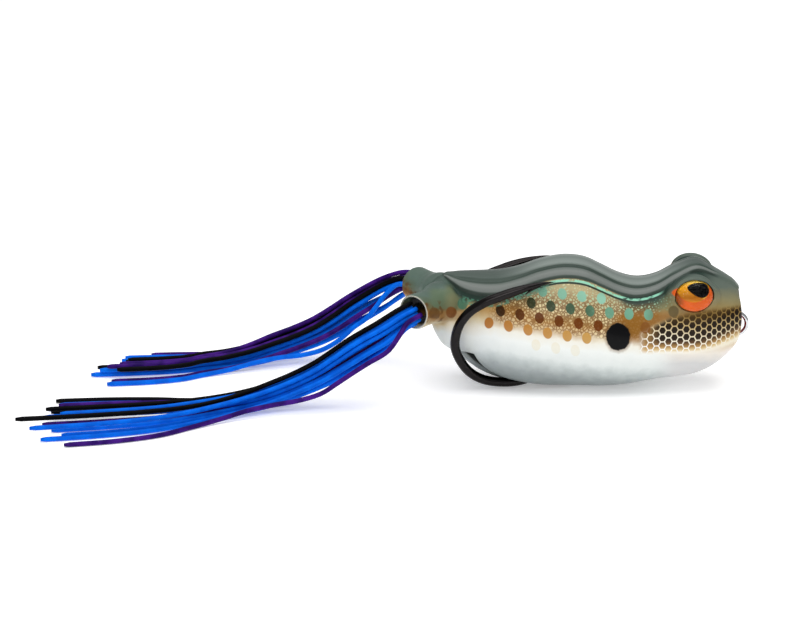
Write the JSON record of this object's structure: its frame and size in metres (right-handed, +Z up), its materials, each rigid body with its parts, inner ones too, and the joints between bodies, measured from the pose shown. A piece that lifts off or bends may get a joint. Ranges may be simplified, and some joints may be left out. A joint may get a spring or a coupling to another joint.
{
  "type": "topwater popper",
  "caption": "Hollow soft-bodied frog popper with a cupped mouth, captive double hook and two legs of rubber strands.",
  "frame": {"origin": "middle of the flat on the belly that the lure rests on", "axes": "+X along the body towards the mouth, +Y to the lure's own left, +Z up"},
  "size_m": [0.134, 0.0615, 0.0246],
  "materials": {
    "body_skin": "painted soft PVC, glossy",
    "tie_wire": "bright stainless wire",
    "hook_wire": "black nickel",
    "weight_metal": "cast, dull",
    "eye_foil": "gold foil, printed pupil",
    "eye_lens": "clear cast resin dome",
    "collar_rubber": "matt",
    "strand_blue": "silicone",
    "strand_purple": "silicone",
    "strand_black": "silicone"
  },
  "bodies": {
    "body": {"body_shell": "body_skin", "right_eye_foil": "eye_foil", "right_eye_lens": "eye_lens", "right_skirt_collar": "collar_rubber", "left_eye_foil": "eye_foil", "left_eye_lens": "eye_lens", "left_skirt_collar": "collar_rubber"},
    "line_tie": {"line_tie": "tie_wire"},
    "hook": {"double_hook": "hook_wire", "belly_weight": "weight_metal"},
    "right_skirt": {"right_strand_01": "strand_blue", "right_strand_02": "strand_blue", "right_strand_03": "strand_blue", "right_strand_04": "strand_purple", "right_strand_05": "strand_blue", "right_strand_06": "strand_blue", "right_strand_07": "strand_black", "right_strand_08": "strand_purple", "right_strand_09": "strand_black", "right_strand_10": "strand_blue", "right_strand_11": "strand_purple", "right_strand_12": "strand_black", "right_strand_13": "strand_blue", "right_strand_14": "strand_blue", "right_strand_15": "strand_black"},
    "left_skirt": {"left_strand_01": "strand_blue", "left_strand_02": "strand_blue", "left_strand_03": "strand_purple", "left_strand_04": "strand_blue", "left_strand_05": "strand_blue", "left_strand_06": "strand_blue", "left_strand_07": "strand_blue", "left_strand_08": "strand_blue", "left_strand_09": "strand_black", "left_strand_10": "strand_black", "left_strand_11": "strand_purple", "left_strand_12": "strand_black", "left_strand_13": "strand_purple", "left_strand_14": "strand_black", "left_strand_15": "strand_purple"}
  },
  "joints": [
    {"name": "hook_swing", "type": "hinge", "parent": "body", "child": "hook", "pos_m": [0.0226, 0, 0.012], "axis": [0, 1, 0], "range_deg": [0, 2]},
    {"name": "line_tie_tilt", "type": "hinge", "parent": "body", "child": "line_tie", "pos_m": [0.0226, 0, 0.012], "axis": [0, 1, 0], "range_deg": [-5, 5]},
    {"name": "right_leg_swing", "type": "hinge", "parent": "body", "child": "right_skirt", "pos_m": [-0.0293, -0.01, 0.0165], "axis": [0, 0, 1], "range_deg": [0, 28]},
    {"name": "left_leg_swing", "type": "hinge", "parent": "body", "child": "left_skirt", "pos_m": [-0.0293, 0.01, 0.0165], "axis": [0, 0, -1], "range_deg": [0, 28]}
  ]
}
